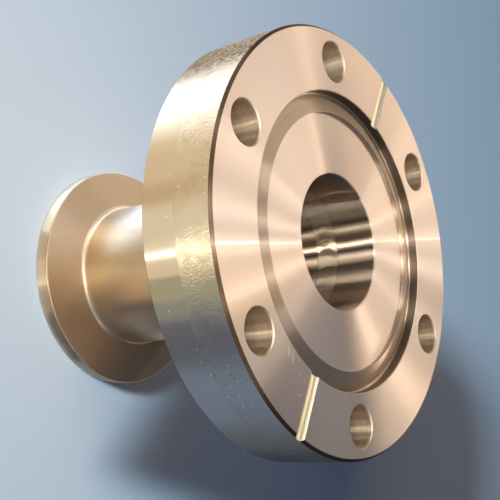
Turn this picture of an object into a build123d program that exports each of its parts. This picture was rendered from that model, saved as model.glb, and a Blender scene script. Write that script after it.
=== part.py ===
from build123d import *
import os
from math import radians, tan

# Vacuum adapter: a bolted knife-edge flange welded to a stub with a clamp flange.
# +Z runs along the bore. The origin is the centre of the clamp flange's sealing
# face, on which the adapter stands, so the bolted face is up. All sizes are in mm.
# Depths in the bolted flange are measured down from its outer face.

# Length between the two outer faces
overall_length = 51.4

# Tube, one inch across
tube_outer_r = 12.7
tube_wall = 1.65

# Bolted flange
flange_outer_r = 34.65
flange_thickness = 12.7
flange_rim_chamfer = 0.45

# Bolt holes, set in from the rim
bolt_count = 6
bolt_edge_distance = 5.29
bolt_hole_r = 3.365
bolt_mouth_chamfer = 0.18

# Knife-edge seal: a vertical inner wall, and a flank that slopes to the recess wall.
# The land is the metal left between the recess wall and the bolt holes.
recess_land = 1.845
recess_mouth_chamfer = 0.12
recess_corner_chamfer = 0.2
knife_depth = 0.7
knife_flank_width = 3.35
knife_flank_angle = 20
knife_foot_chamfer = 0.15
inner_face_depth = 1.4
bore_mouth_chamfer = 0.15

# Leak-check grooves, one each side, milled from the rim into the recess
groove_width = 2.1
groove_depth = 0.55
groove_overrun = 1.0

# Welded joint: the tube sits in a socket, and a bead fills the prepared groove
joint_depth = 10.6
socket_clearance = 0.05
socket_lead_in = 0.3
weld_half_width = 2.1
weld_toe_width = 0.6
weld_root_depth = 0.8
weld_crown = 0.09

# Ripples of the bead: crescents, as each weld pool left them, cut from a pool
# outline with few sides
ripple_count = 16
ripple_r = 1.45
ripple_sides = 8
ripple_gap = 0.35
ripple_depth = 0.1

# Clamp flange, 40 mm across
clamp_outer_r = 20.0
clamp_rim_thickness = 2.85
clamp_bevel_angle = 15
clamp_edge_chamfer = 0.25
clamp_root_round = 1.0

# Recess for the centring ring, in the clamp flange's sealing face
centring_step = 2.05
centring_depth = 3.0
centring_mouth_chamfer = 0.2
stub_bore_chamfer = 0.3

# Heights and radii that several pieces share
bore_r = tube_outer_r - tube_wall
centring_r = bore_r + centring_step
bolt_circle_r = flange_outer_r - bolt_edge_distance
recess_r = bolt_circle_r - bolt_hole_r - recess_land
knife_r = recess_r - knife_flank_width
face_z = overall_length
flange_back_z = face_z - flange_thickness
joint_z = face_z - joint_depth
weld_root_r = bore_r + weld_root_depth
weld_crown_r = bore_r - weld_crown


def section_of(outline):
    """Face inside a closed (radius, height) outline, in the plane of X and Z."""
    return make_face(Polyline(*[(r, 0, z) for r, z in outline], close=True))


def bolt_hole_cutter():
    """A through hole with a chamfered mouth on both faces, on the Z axis."""
    mouth_r = bolt_hole_r + bolt_mouth_chamfer
    outline = [
        (0, flange_back_z),
        (mouth_r, flange_back_z),
        (bolt_hole_r, flange_back_z + bolt_mouth_chamfer),
        (bolt_hole_r, face_z - bolt_mouth_chamfer),
        (mouth_r, face_z),
        (0, face_z),
    ]
    return revolve(section_of(outline), Axis.Z, 360)


def leak_groove_cutters():
    """Two round-bottomed cuts on the X axis, from the recess out past the rim."""
    cutter_r = (groove_width**2 / 4 + groove_depth**2) / (2 * groove_depth)
    centre_z = face_z + cutter_r - groove_depth
    inner_x = recess_r - groove_overrun
    length = flange_outer_r + groove_overrun - inner_x
    mid_x = inner_x + length / 2
    cut = Cylinder(cutter_r, length, rotation=(0, 90, 0))
    return [Pos(side * mid_x, 0, centre_z) * cut for side in (-1, 1)]


def make_cf_flange():
    """Bolted flange: turned blank, bolt holes and leak-check grooves."""
    inner_face_z = face_z - inner_face_depth
    knife_z = face_z - knife_depth
    flank_slope = tan(radians(knife_flank_angle))
    recess_floor_z = knife_z - knife_flank_width * flank_slope
    socket_r = tube_outer_r + socket_clearance
    outline = [
        (bore_r + bore_mouth_chamfer, inner_face_z),
        (knife_r - knife_foot_chamfer, inner_face_z),
        (knife_r, inner_face_z + knife_foot_chamfer),
        (knife_r, knife_z),
        (
            recess_r - recess_corner_chamfer,
            recess_floor_z + recess_corner_chamfer * flank_slope,
        ),
        (recess_r, recess_floor_z + recess_corner_chamfer),
        (recess_r, face_z - recess_mouth_chamfer),
        (recess_r + recess_mouth_chamfer, face_z),
        (flange_outer_r - flange_rim_chamfer, face_z),
        (flange_outer_r, face_z - flange_rim_chamfer),
        (flange_outer_r, flange_back_z + flange_rim_chamfer),
        (flange_outer_r - flange_rim_chamfer, flange_back_z),
        (socket_r + socket_lead_in, flange_back_z),
        (socket_r, flange_back_z + socket_lead_in),
        (socket_r, joint_z),
        (weld_root_r, joint_z),
        (bore_r, joint_z + weld_half_width),
        (bore_r, inner_face_z - bore_mouth_chamfer),
    ]
    blank = revolve(section_of(outline), Axis.Z, 360)
    first_hole = 180 / bolt_count
    hole = bolt_hole_cutter()
    holes = [spot * hole for spot in PolarLocations(bolt_circle_r, bolt_count, first_hole)]
    return blank - holes - leak_groove_cutters()


def make_kf_stub():
    """Stub: tube and clamp flange in one, with the recess for a centring ring."""
    bevel_slope = tan(radians(clamp_bevel_angle))
    bevel_root_z = clamp_rim_thickness + (clamp_outer_r - tube_outer_r) * bevel_slope
    outline = [
        (centring_r + centring_mouth_chamfer, 0),
        (clamp_outer_r - clamp_edge_chamfer, 0),
        (clamp_outer_r, clamp_edge_chamfer),
        (clamp_outer_r, clamp_rim_thickness - clamp_edge_chamfer),
        (
            clamp_outer_r - clamp_edge_chamfer,
            clamp_rim_thickness + clamp_edge_chamfer * bevel_slope,
        ),
        (tube_outer_r, bevel_root_z),
        (tube_outer_r, joint_z),
        (weld_root_r, joint_z),
        (bore_r, joint_z - weld_half_width),
        (bore_r, centring_depth + stub_bore_chamfer),
        (bore_r + stub_bore_chamfer, centring_depth),
        (centring_r, centring_depth),
        (centring_r, centring_mouth_chamfer),
    ]
    section = section_of(outline)
    bevel_root = section.vertices().sort_by_distance((tube_outer_r, 0, bevel_root_z))[0]
    return revolve(fillet(bevel_root, clamp_root_round), Axis.Z, 360)


def ripple_cutter():
    """A crescent-shaped prism that points along X and ends inside the bead's crown."""
    pool = RegularPolygon(ripple_r, ripple_sides, rotation=90)
    crescent = pool - Pos(-ripple_gap, 0) * pool
    floor_r = weld_crown_r + ripple_depth
    radial_plane = Plane(origin=(floor_r, 0, joint_z), x_dir=(0, 1, 0), z_dir=(1, 0, 0))
    return extrude(radial_plane * crescent, -2 * ripple_depth)


def make_weld_bead():
    """Ring of weld in the bore, with a low crown and a crescent for each ripple."""
    crown_half_width = weld_half_width - weld_toe_width
    outline = [
        (weld_root_r, joint_z),
        (bore_r, joint_z - weld_half_width),
        (weld_crown_r, joint_z - crown_half_width),
        (weld_crown_r, joint_z + crown_half_width),
        (bore_r, joint_z + weld_half_width),
    ]
    ring = revolve(section_of(outline), Axis.Z, 360)
    cutter = ripple_cutter()
    step = 360 / ripple_count
    ripples = [Rot(0, 0, i * step) * cutter for i in range(ripple_count)]
    return ring - ripples


os.makedirs("parts", exist_ok=True)
for name, make in (
    ("cf_flange", make_cf_flange),
    ("kf_stub", make_kf_stub),
    ("weld_bead", make_weld_bead),
):
    export_step(make(), os.path.join("parts", name + ".step"))
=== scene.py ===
import logging
import math
from dataclasses import dataclass
from enum import Enum
from typing import Any, Sequence

import bpy
import numpy as np
from mathutils import Matrix, Vector


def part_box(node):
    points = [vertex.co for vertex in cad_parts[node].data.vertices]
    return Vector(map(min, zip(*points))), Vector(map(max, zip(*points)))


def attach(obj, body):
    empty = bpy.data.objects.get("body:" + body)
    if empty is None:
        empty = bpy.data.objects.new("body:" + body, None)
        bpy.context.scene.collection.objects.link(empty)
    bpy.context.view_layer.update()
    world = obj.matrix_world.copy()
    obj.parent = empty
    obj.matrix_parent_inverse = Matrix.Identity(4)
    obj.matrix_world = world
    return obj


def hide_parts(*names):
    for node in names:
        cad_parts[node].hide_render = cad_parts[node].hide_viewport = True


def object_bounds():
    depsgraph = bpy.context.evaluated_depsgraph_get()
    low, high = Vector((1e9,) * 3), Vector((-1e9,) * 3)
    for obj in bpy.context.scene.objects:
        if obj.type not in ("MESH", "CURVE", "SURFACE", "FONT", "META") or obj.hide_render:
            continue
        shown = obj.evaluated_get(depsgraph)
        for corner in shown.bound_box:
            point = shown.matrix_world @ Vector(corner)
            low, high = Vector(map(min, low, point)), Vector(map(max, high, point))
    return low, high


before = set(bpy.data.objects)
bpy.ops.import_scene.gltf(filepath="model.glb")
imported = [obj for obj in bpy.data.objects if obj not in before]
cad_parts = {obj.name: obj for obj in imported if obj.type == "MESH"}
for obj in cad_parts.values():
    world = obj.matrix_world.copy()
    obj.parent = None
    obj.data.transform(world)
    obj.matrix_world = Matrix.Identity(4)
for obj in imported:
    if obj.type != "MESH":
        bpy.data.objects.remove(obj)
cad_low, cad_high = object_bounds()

# Looks of a vacuum adapter: a bolted knife-edge flange welded to a stub that ends in
# a clamp flange. Sizes are in millimetres, depths are measured down from the bolted
# face, and points become metres when they go into a mesh. A turned piece has AROUND
# faces round it, and its edges shade smooth up to an angle of SMOOTH_UP_TO.

LOG = logging.getLogger("adapter_flange")
MM = 0.001
AROUND = 400
SMOOTH_UP_TO = math.radians(25)

Array = np.ndarray
Colour = tuple[float, float, float]
Point = tuple[float, float, float]
Pair = tuple[float, float]
Section = tuple[Pair, ...]


# Node graphs


class Wire:
    """The output socket of a node, on which arithmetic adds Math nodes."""

    def __init__(self, graph: "Graph", socket: bpy.types.NodeSocket) -> None:
        """Keep the socket and the graph that it belongs to."""
        self.graph = graph
        self.socket = socket

    def _math(self, operation: str, *terms: "Wire | float") -> "Wire":
        """Add one Math node with its operands, in order, and give back its result."""
        return self.graph.node("Math", {"operation": operation}, dict(enumerate(terms)))

    def __add__(self, other: "Wire | float") -> "Wire":
        """Sum."""
        return self._math("ADD", self, other)

    def __sub__(self, other: "Wire | float") -> "Wire":
        """Difference."""
        return self._math("SUBTRACT", self, other)

    def __rsub__(self, other: "Wire | float") -> "Wire":
        """Difference with the number first."""
        return self._math("SUBTRACT", other, self)

    def __mul__(self, other: "Wire | float") -> "Wire":
        """Product."""
        return self._math("MULTIPLY", self, other)

    def __truediv__(self, other: "Wire | float") -> "Wire":
        """Quotient."""
        return self._math("DIVIDE", self, other)

    def __pow__(self, other: "Wire | float") -> "Wire":
        """Power."""
        return self._math("POWER", self, other)

    def above(self, edge: float, softness: float) -> "Wire":
        """Mask that rises smoothly from 0 to 1 round an edge.

        Args:
            edge: Where the mask is one half.
            softness: Distance over which it rises.

        Returns:
            The mask.
        """
        return self.graph.node(
            "MapRange",
            {"interpolation_type": "SMOOTHSTEP"},
            {"Value": self, "From Min": edge - softness / 2, "From Max": edge + softness / 2},
        )

    def between(self, low: float, high: float, softness: float) -> "Wire":
        """Mask that is 1 between two values, with soft edges."""
        return self.above(low, softness) * (1 - self.above(high, softness))


class Graph:
    """Node tree of one material."""

    # A Mix node's sockets for colours, by number
    MIX_FIRST, MIX_SECOND, MIX_RESULT = 6, 7, 2

    def __init__(self, name: str) -> None:
        """Make an empty material."""
        self.material = bpy.data.materials.new(name)
        self.material.use_nodes = True
        self.tree = self.material.node_tree
        self.tree.nodes.clear()

    def node(
        self,
        kind: str,
        settings: dict[str, Any] | None = None,
        sockets: dict[str | int, Any] | None = None,
        result: str | int = 0,
    ) -> Wire:
        """Add a node.

        Args:
            kind: Node type without its ShaderNode prefix.
            settings: Properties set before the sockets.
            sockets: Values or wires by input name or number.
            result: Output to return.

        Returns:
            The chosen output.
        """
        made = self.tree.nodes.new("ShaderNode" + kind)
        for key, value in (settings or {}).items():
            setattr(made, key, value)
        for key, value in (sockets or {}).items():
            if isinstance(value, Wire):
                self.tree.links.new(value.socket, made.inputs[key])
            else:
                made.inputs[key].default_value = value
        return Wire(self, made.outputs[result])

    def vector(self, x: Wire | float, y: Wire | float = 0, z: Wire | float = 0) -> Wire:
        """Vector from three parts."""
        return self.node("CombineXYZ", sockets={"X": x, "Y": y, "Z": z})

    def noise(self, at: Wire, scale: float, detail: float = 2, roughness: float = 0.5) -> Wire:
        """Noise from 0 to 1 at a point.

        Args:
            at: The point.
            scale: Cells per unit of the point.
            detail: Octaves added.
            roughness: Strength of each added octave.

        Returns:
            The noise value.
        """
        sockets = {"Vector": at, "Scale": scale, "Detail": detail, "Roughness": roughness}
        return self.node("TexNoise", sockets=sockets)

    def mix(self, share: Wire | float, first: Wire | Colour, second: Wire | Colour) -> Wire:
        """Blend of two colours.

        Args:
            share: How much of the second colour.
            first: Colour at 0.
            second: Colour at 1.

        Returns:
            The blended colour.
        """
        ends = [c if isinstance(c, Wire) else (*c, 1) for c in (first, second)]
        sockets = {0: share, self.MIX_FIRST: ends[0], self.MIX_SECOND: ends[1]}
        return self.node("Mix", {"data_type": "RGBA"}, sockets, self.MIX_RESULT)

    def blend(self, share: Wire | float, first: Wire, second: Wire) -> Wire:
        """Blend of two shaders: share is how much of the second."""
        return self.node("MixShader", sockets={0: share, 1: first, 2: second})

    def bump(self, height: Wire, depth: float) -> Wire:
        """Normal from a height, whose step from 0 to 1 stands for a depth in millimetres."""
        return self.node("Bump", sockets={"Height": height, "Distance": depth * MM})

    def close(self, shader: Wire) -> bpy.types.Material:
        """Link a shader to an output node and give back the material."""
        output = self.tree.nodes.new("ShaderNodeOutputMaterial")
        self.tree.links.new(shader.socket, output.inputs["Surface"])
        return self.material


@dataclass(frozen=True)
class Gloss:
    """Gloss of turned metal: narrow along the turning marks and wide across them."""

    along: float
    across: float

    def shader(self, graph: Graph, colour: Wire, normal: Wire) -> Wire:
        """Anisotropic shader whose two widths are along and across.

        The shader takes the widths as roughness squared times and over
        (1 - anisotropy), so roughness is the fourth root of their product and
        anisotropy is 1 less the root of their ratio.

        Args:
            graph: Graph that gets the node.
            colour: Colour of the metal.
            normal: Bumped normal.

        Returns:
            The shader.
        """
        sockets = {
            "Color": colour,
            "Roughness": (self.along * self.across) ** 0.25,
            "Anisotropy": 1 - (self.along / self.across) ** 0.5,
            "Normal": normal,
        }
        return graph.node("BsdfAnisotropic", {"distribution": "GGX"}, sockets)


def even_metal(graph: Graph, colour: Wire | Colour, rough: Wire | float, normal: Wire) -> Wire:
    """Metal shader whose gloss is the same in every direction."""
    tone = colour if isinstance(colour, Wire) else (*colour, 1)
    sockets = {"Base Color": tone, "Metallic": 1.0, "Roughness": rough, "Normal": normal}
    return graph.node("BsdfPrincipled", sockets=sockets)


def dust(graph: Graph) -> Wire:
    """Shader of pale dust, without gloss."""
    sockets = {"Base Color": (0.85, 0.84, 0.8, 1), "Roughness": 0.9}
    return graph.node("BsdfPrincipled", sockets=sockets)


@dataclass(frozen=True)
class Place:
    """Where a point of a surface is, in millimetres, as wires."""

    x: Wire
    y: Wire
    z: Wire
    radius: Wire
    point: Wire

    @classmethod
    def of(cls, graph: Graph) -> "Place":
        """Read the place from Object coordinates."""
        metres = graph.node("TexCoord", result="Object")
        point = graph.node("VectorMath", {"operation": "SCALE"}, {0: metres, "Scale": 1 / MM})
        split = graph.node("SeparateXYZ", sockets={0: point}).socket.node
        x, y, z = (Wire(graph, split.outputs[axis]) for axis in "XYZ")
        return cls(x, y, z, (x * x + y * y) ** 0.5, point)

    def off(self, height: float) -> Wire:
        """Distance up or down from a height."""
        step = self.z - height
        return (step * step) ** 0.5


# Finishes


@dataclass(frozen=True)
class Patches:
    """Noise cut into patches, with the value and the width of their edge."""

    scale: float
    edge: float
    soft: float
    detail: float = 2
    roughness: float = 0.5

    def mask(self, graph: Graph, at: Place) -> Wire:
        """Mask that is 1 within the patches."""
        noise = graph.noise(at.point, self.scale, self.detail, self.roughness)
        return noise.above(self.edge, self.soft)


@dataclass(frozen=True)
class Nick:
    """A short dent in a flat face, at a place and along a direction."""

    x: float
    y: float
    length: float
    width: float
    direction: float

    def mask(self, at: Place) -> Wire:
        """Mask that is 1 within an ellipse of the nick's length and width."""
        turn = math.radians(self.direction)
        cos, sin = math.cos(turn), math.sin(turn)
        along = (at.x * cos + at.y * sin - (self.x * cos + self.y * sin)) * (2 / self.length)
        across = (at.y * cos - at.x * sin - (self.y * cos - self.x * sin)) * (2 / self.width)
        return 1 - (along * along + across * across).above(1.0, 0.8)


@dataclass(frozen=True)
class TurnedSteel:
    """Bright steel with fine concentric turning marks.

    Part of its gloss is soft along the marks, part of it keen, and the haze is even.
    """

    name: str
    colour: Colour
    dark: Colour
    keen: Gloss
    soft: Gloss
    soft_share: float = 0.6
    haze: float = 0.5
    haze_share: float = 0.2
    contrast: float = 0.35
    mark_scale: float = 2.2
    mark_depth: float = 0.0004
    mark_slant: float = 0.83
    cloud_scale: float = 0.09
    cloud_share: float = 0.3

    def marks(self, graph: Graph, at: Place) -> Wire:
        """Turning marks, which change only with radius and height."""
        line = graph.vector(at.radius + at.z * self.mark_slant)
        return graph.noise(line, self.mark_scale, detail=3, roughness=0.65)

    def height(self, graph: Graph, at: Place, marks: Wire) -> tuple[Wire, float]:
        """Height of the surface, and the millimetres that its step from 0 to 1 stands for."""
        return marks, self.mark_depth

    def softness(self, at: Place) -> Wire | float:
        """Share of the soft gloss."""
        return self.soft_share

    def stains_and_shade(self, graph: Graph, at: Place, tone: Wire) -> Wire:
        """Colour with its stains or painted shade; plain steel has none."""
        return tone

    def dressed(self, graph: Graph, at: Place, shader: Wire, normal: Wire) -> Wire:
        """Shader with what lies on the steel; plain steel carries nothing."""
        return shader

    def material(self) -> bpy.types.Material:
        """Blend of keen, soft and hazy metal, with the marks in its tone and height."""
        graph = Graph(self.name)
        at = Place.of(graph)
        marks = self.marks(graph, at)
        shade = marks * self.contrast + graph.noise(at.point, self.cloud_scale) * self.cloud_share
        tone = self.stains_and_shade(graph, at, graph.mix(shade, self.colour, self.dark))
        height, depth = self.height(graph, at, marks)
        normal = graph.bump(height, depth)
        keen = self.keen.shader(graph, tone, normal)
        soft = self.soft.shader(graph, tone, normal)
        gloss = graph.blend(self.softness(at), keen, soft)
        haze = even_metal(graph, tone, self.haze, normal)
        shader = graph.blend(self.haze_share, gloss, haze)
        return graph.close(self.dressed(graph, at, shader, normal))


@dataclass(frozen=True)
class NickedFace(TurnedSteel):
    """Turned face with a few nicks from handling."""

    nicks: tuple[Nick, ...] = ()
    bruise: Colour = (0.95, 0.88, 0.76)
    bruise_roughness: float = 0.6

    def dressed(self, graph: Graph, at: Place, shader: Wire, normal: Wire) -> Wire:
        """Put the nicks on, as bright rough metal."""
        mask: Wire | float = 0.0
        for nick in self.nicks:
            mask = nick.mask(at) + mask
        bruise = even_metal(graph, self.bruise, self.bruise_roughness, normal)
        return graph.blend(mask, shader, bruise)


@dataclass(frozen=True)
class RimSteel(TurnedSteel):
    """Turned rim: rough and grainy on the side of the bolted face, smooth behind."""

    boundary: float = 44.9
    boundary_width: float = 0.12
    front_soft_share: float = 0.5
    worn_azimuth: float = 52
    worn_reach: float = 24
    worn_edge: float = 0.08
    grain_scale: float = 2.6
    grain_depth: float = 0.07
    grain_least: float = 0.01
    grain_front: float = 0.35
    grain_worn: float = 0.2
    grain_patches: Patches = Patches(0.22, 0.48, 0.2)
    grain_patch_share: float = 0.6
    scuff: Colour = (0.22, 0.16, 0.1)
    scuffs: Patches = Patches(1.7, 0.52, 0.16, 4, 0.8)
    scuffs_worn: float = 0.75
    scuffs_front: float = 0.12
    scuff_groups: Patches = Patches(0.2, 0.52, 0.2)
    speck_scale: float = 2.0
    speck_slant: float = 0.6
    speck_size: float = 0.12
    speck_edge: float = 0.08
    speck_groups: Patches = Patches(0.2, 0.5, 0.3)
    speck_group_share: float = 0.3
    speck_least_draw: float = 1.05
    speck_cover: float = 0.7

    def front(self, at: Place) -> Wire:
        """Mask of the rough front part."""
        return at.z.above(self.boundary, self.boundary_width)

    def height(self, graph: Graph, at: Place, marks: Wire) -> tuple[Wire, float]:
        """Grain on the worn side and in patches on the front part, next to none behind."""
        grain = graph.noise(at.point, self.grain_scale, detail=3, roughness=0.7)
        patches = self.grain_patches.mask(graph, at) * self.grain_patch_share
        share = self.front(at) * (patches + self.grain_front) + self.worn(at) * self.grain_worn
        return grain * (share + self.grain_least), self.grain_depth

    def stains_and_shade(self, graph: Graph, at: Place, tone: Wire) -> Wire:
        """Dark scuffs: many on one side of the rim, and few elsewhere on its front part."""
        few = self.front(at) * self.scuff_groups.mask(graph, at) * self.scuffs_front
        share = self.scuffs.mask(graph, at) * (self.worn(at) * self.scuffs_worn + few)
        return graph.mix(share, tone, self.scuff)

    def worn(self, at: Place) -> Wire:
        """Mask of the worn side: how far a point lies along the worn direction."""
        turn = math.radians(self.worn_azimuth)
        along = (at.x * math.cos(turn) + at.y * math.sin(turn)) / at.radius
        return along.above(math.cos(math.radians(self.worn_reach)), self.worn_edge)

    def softness(self, at: Place) -> Wire | float:
        """More of the soft gloss on the front part."""
        return self.front(at) * (self.front_soft_share - self.soft_share) + self.soft_share

    def dressed(self, graph: Graph, at: Place, shader: Wire, normal: Wire) -> Wire:
        """Scatter small pale specks of dust over it, in loose groups."""
        slant = graph.vector(at.x, at.y, at.z * self.speck_slant)
        cell = graph.node("TexVoronoi", sockets={"Vector": slant, "Scale": self.speck_scale})
        draw = graph.node("SeparateXYZ", sockets={0: Wire(graph, cell.socket.node.outputs[1])})
        draw = draw + self.speck_groups.mask(graph, at) * self.speck_group_share
        speck = 1 - cell.above(self.speck_size, self.speck_edge)
        mask = speck * draw.above(self.speck_least_draw, 0.04)
        return graph.blend(mask * self.speck_cover, shader, dust(graph))


@dataclass(frozen=True)
class DrilledSteel(TurnedSteel):
    """Wall of a drilled hole, with marks round its own axis and painted shade away from its
    mouths.
    """

    middle: float = 45.05
    bright_from: float = 3.0
    fade: float = 3.6
    # Colour of the painted shade deep in the hole, and how much of it is laid on.
    painted_shade: Colour = (0.18, 0.12, 0.07)
    painted_shade_share: float = 0.5
    wander: float = 1.2
    wander_scale: float = 0.4
    mark_edge: float = 0.5
    mark_soft: float = 0.3

    def marks(self, graph: Graph, at: Place) -> Wire:
        """Feed marks of the drill: lines at even heights, a little uneven."""
        wander = graph.noise(at.point, self.wander_scale) * self.wander
        marks = graph.noise(graph.vector(at.z + wander), self.mark_scale, roughness=0.8)
        return marks.above(self.mark_edge, self.mark_soft)

    def stains_and_shade(self, graph: Graph, at: Place, tone: Wire) -> Wire:
        """Painted shade: darker with the distance from the nearer mouth."""
        bright = at.off(self.middle).above(self.bright_from, self.fade)
        return graph.mix((1 - bright) * self.painted_shade_share, tone, self.painted_shade)


@dataclass(frozen=True)
class WeldSteel(TurnedSteel):
    """Bead of weld, with a dark line along each toe."""

    middle: float = 40.8
    half_width: float = 2.1
    toe_width: float = 0.1
    toe: Colour = (0.1, 0.07, 0.05)
    toe_share: float = 0.6
    toe_roughness: float = 0.5
    blotch_scale: float = 0.5
    blotch_depth: float = 0.09

    def height(self, graph: Graph, at: Place, marks: Wire) -> tuple[Wire, float]:
        """Blotches, as the pools of weld set."""
        return graph.noise(at.point, self.blotch_scale), self.blotch_depth

    def dressed(self, graph: Graph, at: Place, shader: Wire, normal: Wire) -> Wire:
        """Darken the toes, where the bead meets the walls of the bore."""
        toe = at.off(self.middle).above(self.half_width - self.toe_width, self.toe_width)
        dark = even_metal(graph, self.toe, self.toe_roughness, normal)
        return graph.blend(toe * self.toe_share, shader, dark)


@dataclass(frozen=True)
class SatinSteel:
    """Fine blasted steel, even and without direction."""

    name: str
    colour: Colour
    dark: Colour
    roughness: float
    grain_scale: float = 9.0
    grain_share: float = 0.15
    grain_depth: float = 0.006
    cloud_scale: float = 0.16
    cloud_share: float = 0.6
    roughness_spread: float = 0.06

    def material(self) -> bpy.types.Material:
        """Grain as small bumps, with slow clouds in the tone."""
        graph = Graph(self.name)
        at = Place.of(graph)
        grain = graph.noise(at.point, self.grain_scale, detail=3, roughness=0.6)
        cloud = graph.noise(at.point, self.cloud_scale)
        shade = cloud * self.cloud_share + grain * self.grain_share
        tone = graph.mix(shade, self.colour, self.dark)
        rough = cloud * self.roughness_spread + (self.roughness - self.roughness_spread / 2)
        normal = graph.bump(grain, self.grain_depth)
        return graph.close(even_metal(graph, tone, rough, normal))


FACE_NICKS = (
    Nick(-24.5, 7.4, 1.6, 0.22, 30),
    Nick(-24.9, 6.1, 1.3, 0.2, 25),
    Nick(-26.1, 3.7, 0.35, 0.3, 0),
    Nick(-26.4, 2.1, 0.3, 0.25, 0),
    Nick(-28.9, 2.5, 0.35, 0.3, 0),
    Nick(-28.2, 20.0, 0.9, 0.35, 60),
)


class Finish(Enum):
    """Finishes of the steel surfaces."""

    FACE = NickedFace(
        "turned_face", (0.9, 0.75, 0.62), (0.76, 0.62, 0.51),
        Gloss(0.0025, 0.4), Gloss(0.032, 0.4), soft_share=0.75, nicks=FACE_NICKS,
    )
    RIM = RimSteel(
        "turned_rim", (0.86, 0.8, 0.72), (0.72, 0.66, 0.58), Gloss(0.01, 0.15), Gloss(0.03, 0.15),
        soft_share=0.15, haze_share=0.05,
    )
    # Chamfers: painted shade and painted dark reflection, laid on as a dark brown colour.
    SHADED_EDGE = TurnedSteel(
        "shaded_edge", (0.24, 0.16, 0.1), (0.1, 0.065, 0.045), Gloss(0.03, 0.3), Gloss(0.1, 0.4),
        contrast=0.8,
    )
    RECESS = TurnedSteel(
        "turned_recess", (0.86, 0.69, 0.51), (0.58, 0.45, 0.32),
        Gloss(0.01, 0.27), Gloss(0.03, 0.27), contrast=0.7,
    )
    # Walls of the recess: a dark colour that paints in the shade that falls in the recess.
    SHADED_RECESS_WALL = TurnedSteel(
        "shaded_recess_wall", (0.38, 0.3, 0.23), (0.2, 0.15, 0.11), Gloss(0.02, 0.5), Gloss(0.05, 0.5),
        contrast=0.8, haze_share=0.1,
    )
    BORE = TurnedSteel(
        "smooth_bore", (0.95, 0.75, 0.54), (0.66, 0.49, 0.33), Gloss(0.008, 1.0), Gloss(0.03, 1.0),
        soft_share=0.15, haze_share=0.02,
    )
    DRILLED = DrilledSteel(
        "drilled_hole", (1.0, 0.84, 0.6), (0.88, 0.66, 0.44), Gloss(0.05, 1.0), Gloss(0.2, 1.0),
        contrast=1.0, mark_scale=3.0, mark_depth=0.014, haze_share=0.32,
    )
    MOUTH = TurnedSteel(
        "hole_mouth", (0.95, 0.8, 0.58), (0.7, 0.55, 0.38), Gloss(0.1, 0.2), Gloss(0.2, 0.3)
    )
    MILLED = SatinSteel("milled_groove", (0.97, 0.88, 0.64), (0.86, 0.76, 0.54), 0.42)
    SATIN = SatinSteel("satin_stub", (0.82, 0.69, 0.52), (0.66, 0.54, 0.39), 0.36)
    # Bevel of the clamp flange: a darker copy of the stub's satin steel, as painted shade.
    SHADED_BEVEL = SatinSteel("shaded_satin_bevel", (0.66, 0.51, 0.35), (0.5, 0.38, 0.25), 0.4)
    CLAMP_RIM = TurnedSteel(
        "clamp_rim", (0.8, 0.7, 0.56), (0.68, 0.58, 0.45), Gloss(0.02, 0.4), Gloss(0.08, 0.4)
    )
    WELD = WeldSteel(
        "weld_metal", (1.0, 0.82, 0.58), (0.82, 0.64, 0.44), Gloss(0.012, 1.0), Gloss(0.05, 1.0),
        soft_share=0.3, haze_share=0.06,
    )


MATERIALS = {finish: finish.value.material() for finish in Finish}


# Turned forms


@dataclass(frozen=True)
class Corner:
    """A corner of a turned outline, with the finish of the run that follows it."""

    r: float
    z: float
    finish: Finish
    rounding: float = 0.03


@dataclass(frozen=True)
class Outline:
    """Closed outline of a turned piece, listed with the metal on its left."""

    corners: tuple[Corner, ...]
    steps: int = 5
    margin: float = 0.02

    def points(self) -> Array:
        """Outline with its corners rounded.

        Each corner becomes an arc that touches both its runs. The arc's ends lie
        rounding / tan(half the corner's angle) from the corner, its centre lies
        rounding / sin(half the angle) along the bisector, and its points turn evenly
        from one end to the other. One more point on each run, a margin away, keeps
        the runs flat when they are shaded.

        Returns:
            Points as rows of radius and height.
        """
        corner = np.array([(c.r, c.z) for c in self.corners])
        size = np.array([c.rounding for c in self.corners])[:, None]
        back = np.roll(corner, 1, 0) - corner
        ahead = np.roll(corner, -1, 0) - corner
        back /= np.linalg.norm(back, axis=1, keepdims=True)
        ahead /= np.linalg.norm(ahead, axis=1, keepdims=True)
        half = np.arccos(np.clip((back * ahead).sum(1, keepdims=True), -1, 1)) / 2
        middle = back + ahead
        middle /= np.linalg.norm(middle, axis=1, keepdims=True)
        reach = size / np.tan(half)
        centre = corner + middle * size / np.sin(half)
        first = corner + back * reach - centre
        last = corner + ahead * reach - centre
        span = math.pi - 2 * half
        share = np.linspace(0, 1, self.steps + 1)[None, :, None]
        turn = span[:, None]
        arc = np.sin((1 - share) * turn) * first[:, None] + np.sin(share * turn) * last[:, None]
        arc = centre[:, None] + arc / np.sin(turn)
        before = (corner + back * (reach + self.margin))[:, None]
        after = (corner + ahead * (reach + self.margin))[:, None]
        return np.concatenate([before, arc, after], 1).reshape(-1, 2)

    def finishes(self) -> Array:
        """Number of the finish between each point and the next, by order of use."""
        order = self.order()
        own = np.array([order.index(c.finish) for c in self.corners])
        rows = np.repeat(own[:, None], self.steps + 3, 1)
        rows[:, 0] = np.roll(own, 1)
        return rows.reshape(-1)

    def order(self) -> list[Finish]:
        """Finishes in the order in which the outline first uses them."""
        return list(dict.fromkeys(c.finish for c in self.corners))


def even_angles(count: int) -> Array:
    """Even angles round a whole turn, from 0."""
    return np.arange(count) * (math.tau / count)


def round_z(r: Array | float, z: Array | float, angle: Array) -> Array:
    """Grid of points round Z: x = r cos a, y = r sin a and z = height.

    Args:
        r: Radii, as a column, or a single one.
        z: Heights, as a column, or a single one.
        angle: Angles a, as a row.

    Returns:
        The points, a row of them for each radius and height.
    """
    return np.stack([r * np.cos(angle), r * np.sin(angle), z + 0 * angle], -1)


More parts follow.
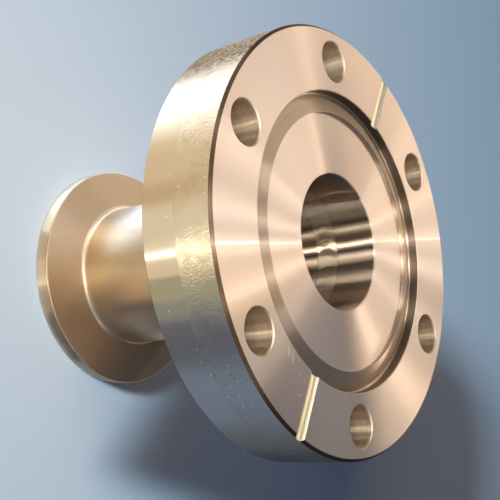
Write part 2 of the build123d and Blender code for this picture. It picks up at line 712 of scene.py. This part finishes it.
def closed_grid(rows: int, columns: int) -> Array:
    """Four-sided faces of a grid of points that closes on itself both ways."""
    row, column = np.arange(rows)[:, None], np.arange(columns)[None]
    here, beyond = row * columns, (row + 1) % rows * columns
    beside = (column + 1) % columns
    faces = np.stack([here + column, here + beside, beyond + beside, beyond + column], -1)
    return faces.reshape(-1, 4)


def linked(name: str, data: bpy.types.ID) -> bpy.types.Object:
    """Put an object of some data in the scene."""
    thing = bpy.data.objects.new(name, data)
    bpy.context.scene.collection.objects.link(thing)
    return thing


def mesh_of(
    name: str, points: Array, faces: list[list[int]], slots: Array | None = None
) -> bpy.types.Mesh:
    """Put points and faces into a mesh.

    Args:
        name: Name of the mesh.
        points: Points in millimetres, listed or in a grid.
        faces: Corners of each face.
        slots: Material slot of each face, where there is more than one.

    Returns:
        The mesh, in metres.
    """
    mesh = bpy.data.meshes.new(name)
    mesh.from_pydata(points.reshape(-1, 3) * MM, [], faces)
    if slots is not None:
        mesh.polygons.foreach_set("material_index", slots.astype(np.int32))
    mesh.update()
    return mesh


def shown(name: str, mesh: bpy.types.Mesh, finishes: Sequence[Finish]) -> bpy.types.Object:
    """Make an object of a mesh and give it its finishes, in the order of its slots."""
    for finish in finishes:
        mesh.materials.append(MATERIALS[finish])
    return linked(name, mesh)


def turned(name: str, outline: Outline) -> bpy.types.Object:
    """Object turned from an outline, with faces that point away from the metal."""
    section = outline.points()
    points = round_z(section[:, :1], section[:, 1:], even_angles(AROUND))
    slots = np.repeat(outline.finishes(), AROUND)
    mesh = mesh_of(name, points, closed_grid(len(section), AROUND).tolist(), slots)
    return shown(name, mesh, outline.order())


def rod(count: int, rows: int) -> list[list[int]]:
    """Faces of a rod made of rows of points, closed at both ends.

    Args:
        count: Number of points in a row.
        rows: Number of rows.

    Returns:
        Sides as four-sided faces, then the two ends.
    """
    ring = np.arange(count)
    here = np.arange(rows - 1)[:, None] * count
    beside = np.roll(ring, -1)
    sides = np.stack([here + ring, here + beside, here + count + beside, here + count + ring], -1)
    ends = [ring[::-1].tolist(), (ring + (rows - 1) * count).tolist()]
    return sides.reshape(-1, 4).tolist() + ends


def finished(piece: bpy.types.Object) -> bpy.types.Object:
    """Shade a piece smooth, apart from its sharp edges."""
    piece.data.shade_smooth()
    piece.data.set_sharp_from_angle(angle=SMOOTH_UP_TO)
    return piece


@dataclass
class BoltedFlange:
    """Knife-edge flange: turned blank with six bolt holes and two leak-check grooves."""

    node: str = "cf_flange"
    slot: str = "turned_steel"
    bore_r: float = 11.05
    weld_root_r: float = 11.85
    weld_toe_depth: float = 8.5
    joint_depth: float = 10.6
    socket_r: float = 12.75
    socket_lead_in: float = 0.3
    bore_mouth_chamfer: float = 0.15
    rim_chamfer: float = 0.45
    recess_r: float = 24.15
    recess_mouth_chamfer: float = 0.12
    recess_corner_round: float = 0.25
    knife_r: float = 20.8
    knife_depth: float = 0.7
    knife_flank_angle: float = 20
    knife_foot_round: float = 0.2
    inner_face_depth: float = 1.4
    hole_count: int = 6
    hole_circle_r: float = 29.36
    hole_r: float = 3.365
    hole_chamfer: float = 0.18
    groove_width: float = 2.1
    groove_depth: float = 0.55
    overrun: float = 1.0

    def __post_init__(self) -> None:
        """Take the outer radius and the two face heights from the frame."""
        low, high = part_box(self.node)
        self.outer_r = high[0] / MM
        self.face_z = high[2] / MM
        self.back_z = low[2] / MM

    def outline(self) -> Outline:
        """Section of the turned blank, from the weld up the bore, out and down the rim."""
        top, bottom = self.face_z, self.back_z
        inner_z = top - self.inner_face_depth
        knife_z = top - self.knife_depth
        slope = math.tan(math.radians(self.knife_flank_angle))
        flank_drop = (self.recess_r - self.knife_r) * slope
        lead, rim, mouth = self.socket_lead_in, self.rim_chamfer, self.recess_mouth_chamfer
        face, edge, recess, bore = Finish.FACE, Finish.SHADED_EDGE, Finish.RECESS, Finish.BORE
        corners = (
            Corner(self.socket_r, top - self.joint_depth, bore),
            Corner(self.socket_r, bottom + lead, bore),
            Corner(self.socket_r + lead, bottom, face),
            Corner(self.outer_r - rim, bottom, edge, 0.05),
            Corner(self.outer_r, bottom + rim, Finish.RIM, 0.05),
            Corner(self.outer_r, top - rim, edge, 0.05),
            Corner(self.outer_r - rim, top, face, 0.05),
            Corner(self.recess_r + mouth, top, Finish.MOUTH),
            Corner(self.recess_r, top - mouth, Finish.SHADED_RECESS_WALL),
            Corner(self.recess_r, knife_z - flank_drop, recess, self.recess_corner_round),
            Corner(self.knife_r, knife_z, recess, 0.02),
            Corner(self.knife_r, inner_z, face, self.knife_foot_round),
            Corner(self.bore_r + self.bore_mouth_chamfer, inner_z, face),
            Corner(self.bore_r, inner_z - self.bore_mouth_chamfer, bore),
            Corner(self.bore_r, top - self.weld_toe_depth, bore),
            Corner(self.weld_root_r, top - self.joint_depth, bore),
        )
        return Outline(corners)

    def hole_points(self, sides: int = 96) -> Array:
        """Bolt hole cutters: circles of the outline's radius at each of its heights."""
        reach = self.hole_r + self.hole_chamfer + self.overrun
        top, bottom = self.face_z, self.back_z
        outline = np.array(
            [
                (reach, bottom - self.overrun),
                (self.hole_r, bottom + self.hole_chamfer),
                (self.hole_r, top - self.hole_chamfer),
                (reach, top + self.overrun),
            ]
        )
        one = round_z(outline[:, :1], outline[:, 1:], even_angles(sides)).reshape(-1, 3)
        spot = (np.arange(self.hole_count) + 0.5) * (math.tau / self.hole_count)
        centre = round_z(self.hole_circle_r, 0.0, spot)
        return centre[:, None] + one[None]

    def groove_points(self, sides: int = 72) -> Array:
        """Groove cutters: round rods along X whose lowest line is the groove's floor."""
        radius = (self.groove_width**2 / 4 + self.groove_depth**2) / (2 * self.groove_depth)
        axis_z = self.face_z + radius - self.groove_depth
        angle = even_angles(sides)
        x = np.array([self.recess_r - self.overrun, self.outer_r + self.overrun])[:, None]
        y, z = radius * np.cos(angle), axis_z + radius * np.sin(angle)
        one = np.stack([x + 0 * angle, y + 0 * x, z + 0 * x], -1).reshape(-1, 3)
        return np.stack([one, one * (-1, -1, 1)])

    def cutter(self) -> bpy.types.Object:
        """One object of all the cutters, with slots for drilled and milled walls and mouths."""
        points: list[Array] = []
        faces: list[list[int]] = []
        slots: list[int] = []
        drilled, milled, mouth = range(3)
        kinds = ((drilled, self.hole_points(), 4), (milled, self.groove_points(), 2))
        for slot, group, rows in kinds:
            for one in group:
                start = sum(len(p) for p in points)
                count = len(one) // rows
                walls = rod(count, rows)
                faces += [[start + i for i in face] for face in walls]
                cone = [mouth] * count if slot == drilled else []
                slots += cone + [slot] * (len(walls) - 2 * len(cone) - 2) + cone + [slot] * 2
                points.append(one)
        mesh = mesh_of("cutters", np.concatenate(points), faces, np.array(slots))
        return shown("cutters", mesh, (Finish.DRILLED, Finish.MILLED, Finish.MOUTH))

    def build(self) -> bpy.types.Object:
        """Turn the blank and cut the holes and grooves out of it."""
        blank = turned("bolted_flange", self.outline())
        cutter = self.cutter()
        cut = blank.modifiers.new("holes and grooves", "BOOLEAN")
        cut.operation, cut.solver, cut.object = "DIFFERENCE", "EXACT", cutter
        cut.material_mode = "TRANSFER"
        depsgraph = bpy.context.evaluated_depsgraph_get()
        mesh = bpy.data.meshes.new_from_object(blank.evaluated_get(depsgraph))
        blank.modifiers.clear()
        blank.data = mesh
        bpy.data.objects.remove(cutter)
        return finished(blank)


@dataclass
class ClampStub:
    """Tube and clamp flange, turned as one."""

    node: str = "kf_stub"
    slot: str = "satin_steel"
    bore_r: float = 11.05
    tube_r: float = 12.7
    weld_root_r: float = 11.85
    weld_half_width: float = 2.1
    clamp_rim: float = 2.85
    clamp_bevel_angle: float = 15
    edge_round: float = 0.3
    root_round: float = 1.0
    centring_r: float = 13.1
    centring_depth: float = 3.0
    mouth_chamfer: float = 0.2
    bore_chamfer: float = 0.3

    def __post_init__(self) -> None:
        """Take the clamp radius and the joint's height from the frame."""
        _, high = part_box(self.node)
        self.clamp_r = high[0] / MM
        self.joint_z = high[2] / MM

    def outline(self) -> Outline:
        """Section from the sealing face out, up the bevel and tube, and down the bore."""
        rise = (self.clamp_r - self.tube_r) * math.tan(math.radians(self.clamp_bevel_angle))
        satin, bore, face = Finish.SATIN, Finish.BORE, Finish.FACE
        mouth, chamfer = self.mouth_chamfer, self.bore_chamfer
        corners = (
            Corner(self.centring_r + mouth, 0, face),
            Corner(self.clamp_r, 0, Finish.CLAMP_RIM, self.edge_round),
            Corner(self.clamp_r, self.clamp_rim, Finish.SHADED_BEVEL, self.edge_round),
            Corner(self.tube_r, self.clamp_rim + rise, satin, self.root_round),
            Corner(self.tube_r, self.joint_z, bore),
            Corner(self.weld_root_r, self.joint_z, bore),
            Corner(self.bore_r, self.joint_z - self.weld_half_width, bore),
            Corner(self.bore_r, self.centring_depth + chamfer, bore),
            Corner(self.bore_r + chamfer, self.centring_depth, bore),
            Corner(self.centring_r, self.centring_depth, bore, 0.2),
            Corner(self.centring_r, mouth, bore),
        )
        return Outline(corners)

    def build(self) -> bpy.types.Object:
        """Turn the stub."""
        return finished(turned("clamp_stub", self.outline()))


@dataclass
class WeldRing:
    """Bead of weld in the bore, with a ripple for each step of the torch."""

    node: str = "weld_bead"
    slot: str = "weld_steel"
    bore_r: float = 11.05
    crown: float = 0.09
    crown_share: float = 0.6
    sunk: float = 0.02
    ripple: float = 0.03
    ripple_count: int = 46
    bow: float = 2.4
    wave_counts: tuple[int, int] = (5, 13)
    wave_shares: Pair = (0.3, 0.2)
    rows: int = 25
    around: int = 1104

    def __post_init__(self) -> None:
        """Take the root's radius and the bead's two edges from the frame."""
        low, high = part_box(self.node)
        self.root_r = high[0] / MM
        self.low_z, self.high_z = low[2] / MM, high[2] / MM

    def points(self) -> Array:
        """Crown rows, then one row at the root.

        Across the bead, v runs from -1 to 1. The crown's radius is the bore's less
        (1 - v squared) times the crown's height and a ripple. A ripple rises along
        the bead and drops at its front, and its front bows by v squared, as a pool
        of weld does. Two slow waves round the bore make it uneven.

        Returns:
            Points of the closed bead.
        """
        v = np.linspace(1, -1, self.rows)[:, None]
        angle = even_angles(self.around)
        phase = self.ripple_count * angle + self.bow * v**2
        saw = np.mod(phase / math.tau, 1) ** 2
        few, many = self.wave_counts
        slow = 1 + self.wave_shares[0] * np.sin(few * angle + 1) * np.cos(2 * v)
        slow = slow + self.wave_shares[1] * np.sin(many * angle + 2 * v)
        crown = (1 - v**2) * (self.crown * self.crown_share * slow - self.ripple * saw)
        r = np.minimum(self.bore_r - crown, self.bore_r + self.sunk)
        middle_z = (self.low_z + self.high_z) / 2
        inner = round_z(r, middle_z + v * (self.high_z - self.low_z) / 2, angle)
        return np.concatenate([inner, round_z(self.root_r, middle_z, angle)[None]])

    def build(self) -> bpy.types.Object:
        """Make the closed bead from its grid."""
        faces = closed_grid(self.rows + 1, self.around).tolist()
        mesh = mesh_of("weld_ring", self.points(), faces)
        return finished(shown("weld_ring", mesh, (Finish.WELD,)))


# Studio


class Reach(Enum):
    """What a lamp lights: the gloss of the steel, or the floor."""

    STEEL = "steel"
    FLOOR = "floor"


@dataclass(frozen=True)
class SoftBox:
    """A flat rectangular lamp that faces the adapter.

    Its place and its size are angles seen from the adapter, in degrees: azimuth and
    elevation of its middle, and how far it reaches across and up.
    """

    name: str
    azimuth: float
    elevation: float
    across: float
    up: float
    strength: float
    colour: Colour = (1.0, 1.0, 1.0)
    distance: float = 600.0
    reach: Reach = Reach.STEEL

    def place(self, target: Vector) -> bpy.types.Object:
        """Put the lamp up.

        Its width is twice the distance times the tangent of half its reach, narrower
        by the cosine of its elevation. Its strength is the brightness of its surface,
        so the power that Blender wants is strength times area times pi.

        Args:
            target: Point that it faces, in metres.

        Returns:
            The lamp.
        """
        around, up = math.radians(self.azimuth), math.radians(self.elevation)
        away = Vector(
            (math.cos(around) * math.cos(up), math.sin(around) * math.cos(up), math.sin(up))
        )
        reach = 2 * self.distance * MM
        width = reach * math.tan(math.radians(self.across) / 2) * math.cos(up)
        height = reach * math.tan(math.radians(self.up) / 2)
        data = bpy.data.lights.new(self.name, "AREA")
        data.shape, data.size, data.size_y = "RECTANGLE", width, height
        data.energy = self.strength * math.pi * width * height
        data.color = self.colour
        lamp = linked(self.name, data)
        lamp.location = target + away * self.distance * MM
        lamp.rotation_euler = away.to_track_quat("Z", "Y").to_euler()
        lamp.visible_camera = False
        lamp.visible_diffuse = self.reach is Reach.FLOOR
        lamp.visible_glossy = self.reach is Reach.STEEL
        return lamp


@dataclass(frozen=True)
class Card:
    """A glowing card that stands round the adapter, between two azimuths in degrees."""

    name: str
    first: float
    last: float
    glow: Colour

    def stand(self, section: Section) -> bpy.types.Object:
        """Stand the card up, seen by nothing but the gloss of the steel.

        Its section is carried round Z from its first azimuth to its last.

        Args:
            section: Open outline of radii and heights in millimetres.

        Returns:
            The card.
        """
        angle = np.radians(np.linspace(self.first, self.last, int(self.last - self.first) + 2))
        outline = np.array(section)
        points = round_z(outline[:, :1], outline[:, 1:], angle)
        row = np.arange(len(section) - 1)[:, None] * len(angle)
        here = row + np.arange(len(angle) - 1)[None]
        above = here + len(angle)
        faces = np.stack([here + 1, here, above, above + 1], -1).reshape(-1, 4)
        mesh = mesh_of(self.name, points, faces.tolist())
        graph = Graph(self.name)
        glow = graph.node("Emission", sockets={"Color": (*self.glow, 1)})
        mesh.materials.append(graph.close(glow))
        card = linked(self.name, mesh)
        card.visible_camera = card.visible_diffuse = card.visible_shadow = False
        return card


@dataclass(frozen=True)
class Flag:
    """An upright flag of graded cloth that only deepens the shadow on the floor."""

    name: str
    first: Pair
    last: Pair
    height: float
    fade: float
    density: float = 0.95
    foot_share: float = 0.08
    top_share: float = 0.75
    soft_share: float = 0.16

    def cloth(self) -> bpy.types.Material:
        """Black cloth, a little open, that fades at its first end, foot and top."""
        graph = Graph(self.name)
        at = Place.of(graph)
        side = at.x.above(self.first[0] + self.fade / 2, self.fade)
        low, high = self.height * self.foot_share, self.height * self.top_share
        rise = at.z.between(low, high, self.height * self.soft_share)
        clear = graph.node("BsdfTransparent")
        black = graph.node("BsdfDiffuse", sockets={"Color": (0, 0, 0, 1)})
        return graph.close(graph.blend(side * rise * self.density, clear, black))

    def stand(self) -> bpy.types.Object:
        """Stand the flag up between its two points on the floor, itself unseen."""
        foot = np.array([(*self.first, 0), (*self.last, 0)])
        points = np.concatenate([foot, foot[::-1] + (0, 0, self.height)])
        mesh = mesh_of(self.name, points, [[0, 1, 2, 3]])
        mesh.materials.append(self.cloth())
        flag = linked(self.name, mesh)
        flag.visible_camera = flag.visible_diffuse = flag.visible_glossy = False
        return flag


@dataclass
class Studio:
    """Floor, lamps, glow cards and camera.

    The camera was solved from the photograph's outlines. The lamps and the glow of the
    cards were fitted to what the steel reflects in the photograph, so they are not a
    neutral studio. The sections are the cards', the mats' and the collars'.
    """

    sky: Colour = (0.5, 0.66, 1.0)
    sky_strength: float = 0.12
    floor_size: float = 3000
    floor_colour: Colour = (0.6, 0.65, 0.72)
    floor_shade: float = 0.94
    floor_cloud_scale: float = 0.004
    camera_at: Point = (-85.76, 104.09, 128.56)
    camera_back: Point = (-0.4845, 0.6198, 0.6173)
    camera_up: Point = (0.8349, 0.5384, 0.1147)
    picture_px: float = 500
    focal_px: float = 967.0
    axis_px: Pair = (210.34, 282.67)
    sensor: float = 36.0
    nearest: float = 10
    lamps: tuple[SoftBox, ...] = (
        SoftBox("warm_wall", -40, 44.5, 30, 26, 2.5, (1.0, 0.84, 0.68)),
        SoftBox("warm_high", -60, 56, 12, 32, 2.4, (1.0, 0.72, 0.45)),
        SoftBox("cool_gap", -50, 17, 10, 20, 1.0, (0.6, 0.8, 1.0)),
        SoftBox("right_wall", -22, 35, 11, 24, 1.1, (1.0, 0.82, 0.65)),
        SoftBox("low_fan", -68, 16, 5, 14, 7.0, (1.0, 0.84, 0.7)),
        SoftBox("side_fill", 12, 41, 26, 28, 0.15, (1.0, 0.75, 0.5)),
        SoftBox("top_fan", 59, 37, 9, 18, 5.2, (1.0, 0.92, 0.85)),
        SoftBox("front_high", 96, 41, 16, 28, 3.7, (1.0, 0.89, 0.79)),
        SoftBox("front_fan", 120, 36, 9, 36, 2.5, (1.0, 0.85, 0.75)),
        SoftBox("front_side", 150, 41, 18, 28, 1.5, (1.0, 0.89, 0.68)),
        SoftBox("bore_strip_left", 95, 56, 8, 20, 12.0, (0.95, 0.96, 1.0)),
        SoftBox("bore_strip_middle", 124, 58, 5, 34, 6.5, (1.0, 0.88, 0.6)),
        SoftBox("bore_strip_right", 154, 56, 5, 20, 12.5),
        SoftBox("bore_side", 178, 50, 6, 24, 2.2, (1.0, 0.85, 0.65)),
        SoftBox("bore_strip_low", 44, 54, 2.4, 22, 20.0),
        SoftBox("bore_strip_far", 205, 54, 2.4, 22, 24.0),
        SoftBox("flash", 121.3, 37.3, 0.3, 0.3, 32000.0, distance=170),
        SoftBox("floor_key", 100, 19, 9, 9, 232, (0.58, 0.83, 1.0), 1500, Reach.FLOOR),
        SoftBox("floor_wash", 92, 42, 22, 22, 16, (1.0, 0.75, 0.48), 220, Reach.FLOOR),
    )
    cards: tuple[Card, ...] = (
        Card("brown_card", -62, -27, (0.44, 0.38, 0.31)),
        Card("tawny_card", -27, 20, (0.9, 0.8, 0.7)),
        Card("dun_card", 20, 47, (0.55, 0.47, 0.39)),
        Card("white_card", 47, 70, (2.2, 2.2, 2.1)),
        Card("pale_card", 70, 77, (1.25, 1.05, 0.78)),
        Card("gold_card", 77, 98, (0.8, 0.63, 0.4)),
        Card("amber_card", 98, 105.5, (0.62, 0.44, 0.25)),
        Card("cream_card", 105.5, 123, (0.84, 0.7, 0.5)),
        Card("flash_card", 123, 124.5, (5.0, 4.2, 2.8)),
        Card("sand_card", 124.5, 132, (0.8, 0.65, 0.44)),
        Card("olive_card", 132, 141, (0.4, 0.38, 0.25)),
        Card("moss_card", 141, 148, (0.24, 0.26, 0.23)),
        Card("grey_card", 148, 168, (0.115, 0.13, 0.17)),
        Card("slate_card", 168, 200, (0.17, 0.22, 0.31)),
        Card("dim_card", 200, 222, (0.115, 0.135, 0.17)),
        Card("black_card", 222, 298, (0.045, 0.055, 0.075)),
    )
    mats: tuple[Card, ...] = (
        Card("brown_mat", -62, 0, (0.5, 0.42, 0.35)),
        Card("white_mat", 0, 60, (3.3, 4.4, 6.4)),
        Card("pale_mat", 60, 80, (0.8, 0.82, 0.9)),
        Card("tan_mat", 80, 120, (0.46, 0.38, 0.28)),
        Card("umber_mat", 120, 142, (0.7, 0.52, 0.33)),
        Card("dusk_mat", 142, 162, (0.78, 0.54, 0.36)),
        Card("night_mat", 162, 200, (0.1, 0.08, 0.09)),
        Card("far_mat", 200, 225, (0.08, 0.06, 0.06)),
        Card("back_mat", 225, 298, (0.85, 0.58, 0.38)),
    )
    collars: tuple[Card, ...] = (
        Card("dull_collar", -62, 50, (0.3, 0.25, 0.2)),
        Card("white_collar", 50, 67, (1.4, 1.6, 1.9)),
        Card("bright_collar", 67, 84, (2.4, 2.8, 3.2)),
        Card("pale_collar", 84, 97, (1.5, 1.6, 1.7)),
        Card("tan_collar", 97, 112, (0.62, 0.52, 0.36)),
        Card("sand_collar", 112, 127, (0.78, 0.66, 0.48)),
        Card("umber_collar", 127, 142, (0.34, 0.27, 0.2)),
        Card("night_collar", 142, 176, (0.05, 0.055, 0.07)),
        Card("slate_collar", 176, 298, (0.34, 0.34, 0.38)),
    )
    sections: tuple[Section, ...] = (
        ((50, 0.2), (62, 0.2), (62, 60)),
        ((27, 0.2), (50, 0.2)),
        ((20.6, 0.2), (27, 0.2)),
    )
    flag: Flag = Flag("shade_flag", (-39, -5), (13, -19), 40, 9)

    def set_world(self) -> None:
        """Even pale light from all round."""
        world = bpy.data.worlds.new("studio")
        world.use_nodes = True
        background = world.node_tree.nodes["Background"]
        background.inputs["Color"].default_value = (*self.sky, 1)
        background.inputs["Strength"].default_value = self.sky_strength
        bpy.context.scene.world = world

    def lay_floor(self) -> None:
        """Plain pale floor under the sealing face."""
        half = self.floor_size / 2
        across = np.array([-half, half])
        x, y = np.meshgrid(across, across)
        mesh = mesh_of("floor", np.stack([x, y, 0 * x], -1), [[0, 1, 3, 2]])
        graph = Graph("floor_paint")
        cloud = graph.noise(Place.of(graph).point, self.floor_cloud_scale)
        darker = tuple(part * self.floor_shade for part in self.floor_colour)
        tone = graph.mix(cloud, self.floor_colour, darker)
        # Matt, because a sheen would show the glow cards that lie on the floor.
        shader = graph.node("BsdfDiffuse", sockets={"Color": tone})
        mesh.materials.append(graph.close(shader))
        floor = linked("floor", mesh)

    def set_camera(self) -> None:
        """Stand the camera where the photograph was taken from."""
        data = bpy.data.cameras.new("camera")
        data.sensor_width = self.sensor
        data.lens = self.focal_px * self.sensor / self.picture_px
        data.shift_x = (self.picture_px / 2 - self.axis_px[0]) / self.picture_px
        data.shift_y = (self.axis_px[1] - self.picture_px / 2) / self.picture_px
        data.clip_start = self.nearest * MM
        camera = linked("camera", data)
        back, up = Vector(self.camera_back).normalized(), Vector(self.camera_up)
        right = up.cross(back).normalized()
        turn = Matrix((right, back.cross(right), back)).transposed().to_4x4()
        camera.matrix_world = Matrix.Translation(Vector(self.camera_at) * MM) @ turn
        bpy.context.scene.camera = camera

    def build(self, target: Vector) -> None:
        """Put up the whole studio round a point."""
        self.set_camera()
        self.set_world()
        self.lay_floor()
        for lamp in self.lamps:
            lamp.place(target)
        groups = (self.cards, self.mats, self.collars)
        for cards, section in zip(groups, self.sections):
            for card in cards:
                card.stand(section)
        self.flag.stand()
        bpy.context.scene.view_settings.view_transform = "Standard"


def main() -> None:
    """Build each assembly, dress it, put up the studio and log each piece's count of faces."""
    logging.basicConfig(level=logging.INFO, format="%(name)s: %(message)s")
    for assembly in (BoltedFlange(), ClampStub(), WeldRing()):
        piece = assembly.build()
        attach(piece, "root")
        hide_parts(assembly.node)
        LOG.info("%s stands for %s: %d faces", piece.name, assembly.node, len(piece.data.polygons))
    Studio().build((cad_low + cad_high) / 2)


if __name__ == "__main__":
    main()
